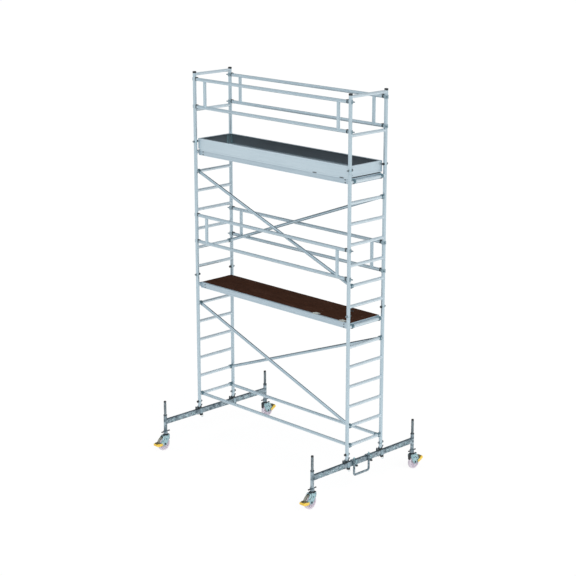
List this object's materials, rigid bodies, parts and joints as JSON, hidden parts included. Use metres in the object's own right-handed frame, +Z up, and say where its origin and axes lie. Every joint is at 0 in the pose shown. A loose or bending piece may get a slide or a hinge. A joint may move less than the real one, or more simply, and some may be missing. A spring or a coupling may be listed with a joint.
{
  "type": "mobile tower scaffold",
  "caption": "Narrow mobile scaffold tower with ladder end frames, two hatch platforms, guardrails and toe boards on outrigger beams with braked swivel castors.",
  "frame": {"origin": "on the ground, in the middle of the tower: the bottom centre of its box", "axes": "+X along the platforms towards the end with the foot step, +Y across them towards the rear, +Z up"},
  "size_m": [3.138, 2.4054, 5.488],
  "materials": {
    "aluminium_tube": "mill-finish extruded tube",
    "deck_extrusion": "mill-finish extrusion",
    "toe_board_extrusion": "mill-finish ribbed extrusion",
    "lower_plywood": "dark phenolic-faced plywood",
    "upper_plywood": "dark grey phenolic-faced plywood",
    "galvanised_steel": "hot-dip galvanised, mottled",
    "dark_steel": "dark zinc-coated casting",
    "zinc_steel": "blue zinc-plated pressing",
    "screw_steel": "zinc-plated thread",
    "yellow_plastic": "satin yellow coating",
    "white_polyamide": "satin cast polyamide"
  },
  "bodies": {
    "tower": {"base_frame_left": "aluminium_tube", "upper_frame_left": "aluminium_tube", "guard_frame_left": "aluminium_tube", "base_frame_right": "aluminium_tube", "upper_frame_right": "aluminium_tube", "guard_frame_right": "aluminium_tube", "base_brace_front": "aluminium_tube", "base_brace_rear": "aluminium_tube", "lower_diagonal_front": "aluminium_tube", "lower_diagonal_rear": "aluminium_tube", "upper_diagonal_front": "aluminium_tube", "upper_diagonal_rear": "aluminium_tube", "lower_guardrail_front": "aluminium_tube", "lower_guardrail_rear": "aluminium_tube", "upper_guardrail_front": "aluminium_tube", "upper_guardrail_rear": "aluminium_tube", "lower_deck_frame": "deck_extrusion", "lower_deck_panel": "lower_plywood", "lower_hatch_pin": "zinc_steel", "upper_deck_frame": "deck_extrusion", "upper_deck_panel": "upper_plywood", "upper_hatch_pin": "zinc_steel", "toe_board_front": "toe_board_extrusion", "toe_board_rear": "toe_board_extrusion", "toe_board_left": "toe_board_extrusion", "toe_board_right": "toe_board_extrusion", "rolling_beam_left": "galvanised_steel", "beam_clamp_front_left": "dark_steel", "beam_clamp_rear_left": "dark_steel", "rolling_beam_right": "galvanised_steel", "beam_clamp_front_right": "dark_steel", "beam_clamp_rear_right": "dark_steel", "foot_step": "galvanised_steel"},
    "lower_hatch": {"lower_hatch": "lower_plywood"},
    "upper_hatch": {"upper_hatch": "upper_plywood"},
    "spindle_front_left": {"spindle_front_left": "screw_steel"},
    "nut_front_left": {"spindle_nut_front_left": "dark_steel"},
    "castor_front_left": {"castor_fork_front_left": "zinc_steel", "wheel_axle_front_left": "zinc_steel"},
    "pedal_front_left": {"brake_pedal_front_left": "yellow_plastic"},
    "wheel_front_left": {"wheel_front_left": "white_polyamide"},
    "spindle_front_right": {"spindle_front_right": "screw_steel"},
    "nut_front_right": {"spindle_nut_front_right": "dark_steel"},
    "castor_front_right": {"castor_fork_front_right": "zinc_steel", "wheel_axle_front_right": "zinc_steel"},
    "pedal_front_right": {"brake_pedal_front_right": "yellow_plastic"},
    "wheel_front_right": {"wheel_front_right": "white_polyamide"},
    "spindle_rear_left": {"spindle_rear_left": "screw_steel"},
    "nut_rear_left": {"spindle_nut_rear_left": "dark_steel"},
    "castor_rear_left": {"castor_fork_rear_left": "zinc_steel", "wheel_axle_rear_left": "zinc_steel"},
    "pedal_rear_left": {"brake_pedal_rear_left": "yellow_plastic"},
    "wheel_rear_left": {"wheel_rear_left": "white_polyamide"},
    "spindle_rear_right": {"spindle_rear_right": "screw_steel"},
    "nut_rear_right": {"spindle_nut_rear_right": "dark_steel"},
    "castor_rear_right": {"castor_fork_rear_right": "zinc_steel", "wheel_axle_rear_right": "zinc_steel"},
    "pedal_rear_right": {"brake_pedal_rear_right": "yellow_plastic"},
    "wheel_rear_right": {"wheel_rear_right": "white_polyamide"}
  },
  "joints": [
    {"name": "lower_hatch_hinge", "type": "hinge", "parent": "tower", "child": "lower_hatch", "pos_m": [1.09, -0.272, 2.4253], "axis": [1, 0, 0], "range_deg": [0, 95]},
    {"name": "upper_hatch_hinge", "type": "hinge", "parent": "tower", "child": "upper_hatch", "pos_m": [1.09, -0.272, 4.3853], "axis": [1, 0, 0], "range_deg": [0, 95]},
    {"name": "front_left_height", "type": "slide", "parent": "tower", "child": "spindle_front_left", "axis": [0, 0, -1], "range_m": [0, 0.2]},
    {"name": "front_left_nut_turn", "type": "hinge", "parent": "tower", "child": "nut_front_left", "pos_m": [-1.515, -1.005, 0.27], "axis": [0, 0, 1], "continuous": true},
    {"name": "front_left_swivel", "type": "hinge", "parent": "spindle_front_left", "child": "castor_front_left", "pos_m": [-1.515, -1.005, 0.221], "axis": [0, 0, 1], "continuous": true},
    {"name": "front_left_roll", "type": "hinge", "parent": "castor_front_left", "child": "wheel_front_left", "pos_m": [-1.515, -1.045, 0.1], "axis": [1, 0, 0], "continuous": true},
    {"name": "front_left_brake", "type": "hinge", "parent": "castor_front_left", "child": "pedal_front_left", "pos_m": [-1.515, -1.107, 0.108], "axis": [-1, 0, 0], "range_deg": [0, 22]},
    {"name": "front_right_height", "type": "slide", "parent": "tower", "child": "spindle_front_right", "axis": [0, 0, -1], "range_m": [0, 0.2]},
    {"name": "front_right_nut_turn", "type": "hinge", "parent": "tower", "child": "nut_front_right", "pos_m": [1.515, -1.005, 0.27], "axis": [0, 0, 1], "continuous": true},
    {"name": "front_right_swivel", "type": "hinge", "parent": "spindle_front_right", "child": "castor_front_right", "pos_m": [1.515, -1.005, 0.221], "axis": [0, 0, 1], "continuous": true},
    {"name": "front_right_roll", "type": "hinge", "parent": "castor_front_right", "child": "wheel_front_right", "pos_m": [1.515, -1.045, 0.1], "axis": [1, 0, 0], "continuous": true},
    {"name": "front_right_brake", "type": "hinge", "parent": "castor_front_right", "child": "pedal_front_right", "pos_m": [1.515, -1.107, 0.108], "axis": [-1, 0, 0], "range_deg": [0, 22]},
    {"name": "rear_left_height", "type": "slide", "parent": "tower", "child": "spindle_rear_left", "axis": [0, 0, -1], "range_m": [0, 0.2]},
    {"name": "rear_left_nut_turn", "type": "hinge", "parent": "tower", "child": "nut_rear_left", "pos_m": [-1.515, 1.005, 0.27], "axis": [0, 0, 1], "continuous": true},
    {"name": "rear_left_swivel", "type": "hinge", "parent": "spindle_rear_left", "child": "castor_rear_left", "pos_m": [-1.515, 1.005, 0.221], "axis": [0, 0, 1], "continuous": true},
    {"name": "rear_left_roll", "type": "hinge", "parent": "castor_rear_left", "child": "wheel_rear_left", "pos_m": [-1.515, 1.045, 0.1], "axis": [1, 0, 0], "continuous": true},
    {"name": "rear_left_brake", "type": "hinge", "parent": "castor_rear_left", "child": "pedal_rear_left", "pos_m": [-1.515, 1.107, 0.108], "axis": [-1, 0, 0], "range_deg": [0, 22]},
    {"name": "rear_right_height", "type": "slide", "parent": "tower", "child": "spindle_rear_right", "axis": [0, 0, -1], "range_m": [0, 0.2]},
    {"name": "rear_right_nut_turn", "type": "hinge", "parent": "tower", "child": "nut_rear_right", "pos_m": [1.515, 1.005, 0.27], "axis": [0, 0, 1], "continuous": true},
    {"name": "rear_right_swivel", "type": "hinge", "parent": "spindle_rear_right", "child": "castor_rear_right", "pos_m": [1.515, 1.005, 0.221], "axis": [0, 0, 1], "continuous": true},
    {"name": "rear_right_roll", "type": "hinge", "parent": "castor_rear_right", "child": "wheel_rear_right", "pos_m": [1.515, 1.045, 0.1], "axis": [1, 0, 0], "continuous": true},
    {"name": "rear_right_brake", "type": "hinge", "parent": "castor_rear_right", "child": "pedal_rear_right", "pos_m": [1.515, 1.107, 0.108], "axis": [-1, 0, 0], "range_deg": [0, 22]}
  ],
  "couplings": [
    {"joint": "front_left_nut_turn", "follows": "front_left_height", "rad_per_m": 785.4},
    {"joint": "front_right_nut_turn", "follows": "front_right_height", "rad_per_m": 785.4},
    {"joint": "rear_left_nut_turn", "follows": "rear_left_height", "rad_per_m": 785.4},
    {"joint": "rear_right_nut_turn", "follows": "rear_right_height", "rad_per_m": 785.4}
  ]
}
